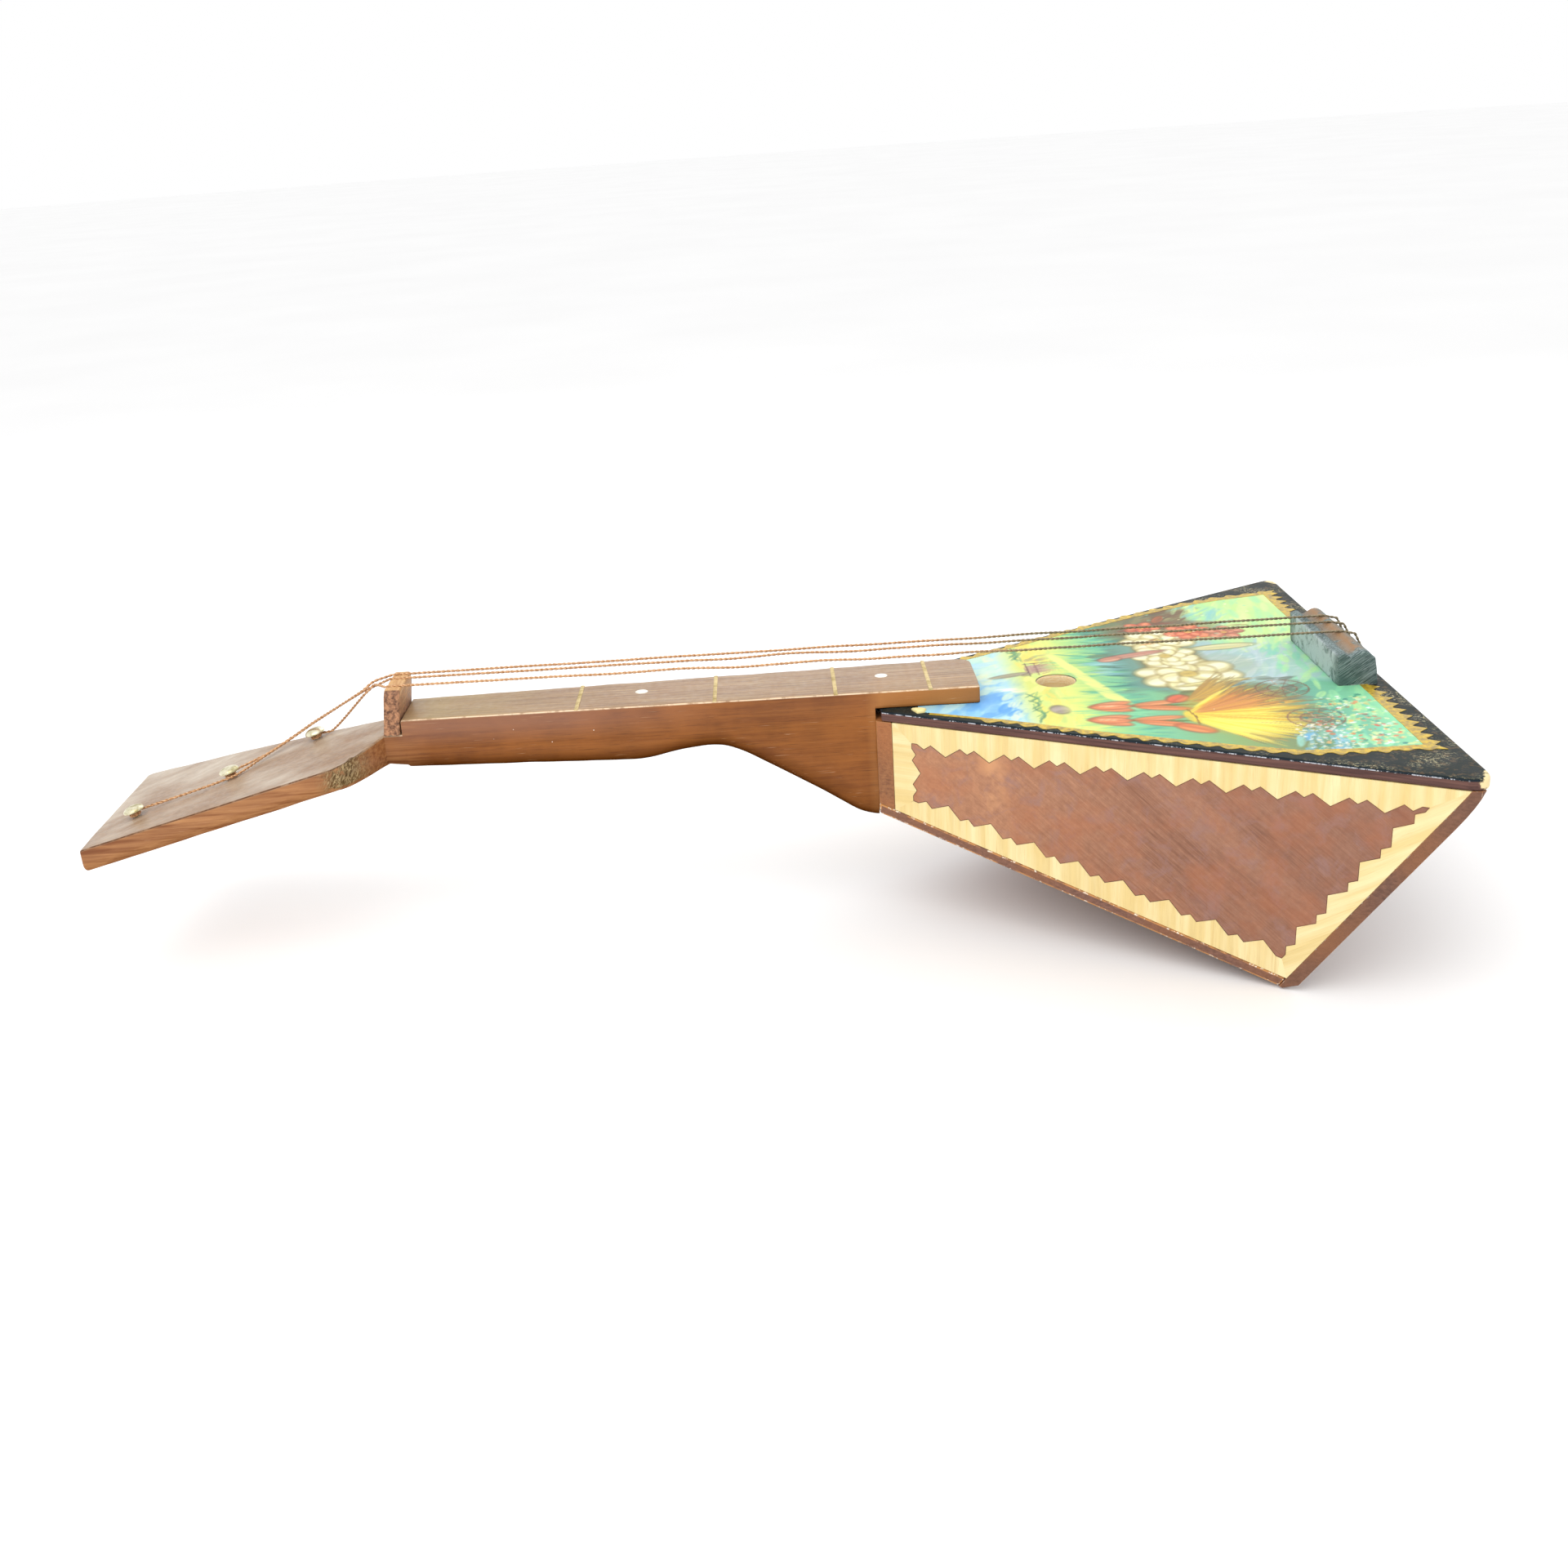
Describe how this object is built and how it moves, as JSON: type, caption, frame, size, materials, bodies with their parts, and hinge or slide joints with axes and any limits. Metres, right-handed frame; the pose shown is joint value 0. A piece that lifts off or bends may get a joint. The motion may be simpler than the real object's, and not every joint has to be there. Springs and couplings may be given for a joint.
{
  "type": "balalaika",
  "caption": "Small three-string balalaika with a deep triangular box body, toothed side inlay, painted soundboard, paddle head with domed string tacks, tall nut and block bridge at the tail.",
  "frame": {"origin": "centre of the bounding box in plan, at the level of its lowest point, which is the foot of the tail plate", "axes": "+X from the head to the tail, +Z out of the soundboard, +Y across the soundboard to the far side"},
  "size_m": [0.4218, 0.2062, 0.0917],
  "materials": {
    "brown_wood": "worn satin",
    "nut_wood": "dull, bare",
    "pale_wood": "matt, bare",
    "light_veneer": "satin varnish",
    "brown_veneer": "satin varnish, scratched",
    "painted_board": "glossy varnish over paint",
    "slate_paint": "satin paint, scuffed",
    "fret_metal": "satin",
    "dot_plastic": "gloss",
    "tack_brass": "polished",
    "string_bronze": "dull wound wire",
    "screw_steel": "satin"
  },
  "bodies": {
    "root": {"soundboard": "painted_board", "back_plate": "brown_wood", "tail_plate": "brown_wood", "front_plate": "brown_wood", "near_side_panel": "pale_wood", "near_veneer_field": "brown_veneer", "near_veneer_front": "light_veneer", "near_veneer_back": "light_veneer", "near_veneer_tail": "light_veneer", "near_veneer_top": "light_veneer", "near_top_lining": "pale_wood", "near_back_lining": "pale_wood", "far_side_panel": "pale_wood", "far_veneer_field": "brown_veneer", "far_veneer_front": "light_veneer", "far_veneer_back": "light_veneer", "far_veneer_tail": "light_veneer", "far_veneer_top": "light_veneer", "far_top_lining": "pale_wood", "far_back_lining": "pale_wood", "tail_top_lining": "pale_wood", "tail_back_lining": "pale_wood", "soundboard_brace_1": "pale_wood", "soundboard_brace_2": "pale_wood", "back_brace": "pale_wood", "neck_block": "pale_wood", "neck_screw": "screw_steel", "neck": "brown_wood", "fret_1": "fret_metal", "fret_2": "fret_metal", "fret_3": "fret_metal", "fret_4": "fret_metal", "dot_1": "dot_plastic", "dot_2": "dot_plastic", "nut": "nut_wood", "bridge": "slate_paint", "head_tack_1": "tack_brass", "head_tack_2": "tack_brass", "head_tack_3": "tack_brass", "tail_tack_1": "tack_brass", "tail_tack_2": "tack_brass", "tail_tack_3": "tack_brass", "string_1": "string_bronze", "string_2": "string_bronze", "string_3": "string_bronze"}
  },
  "joints": []
}
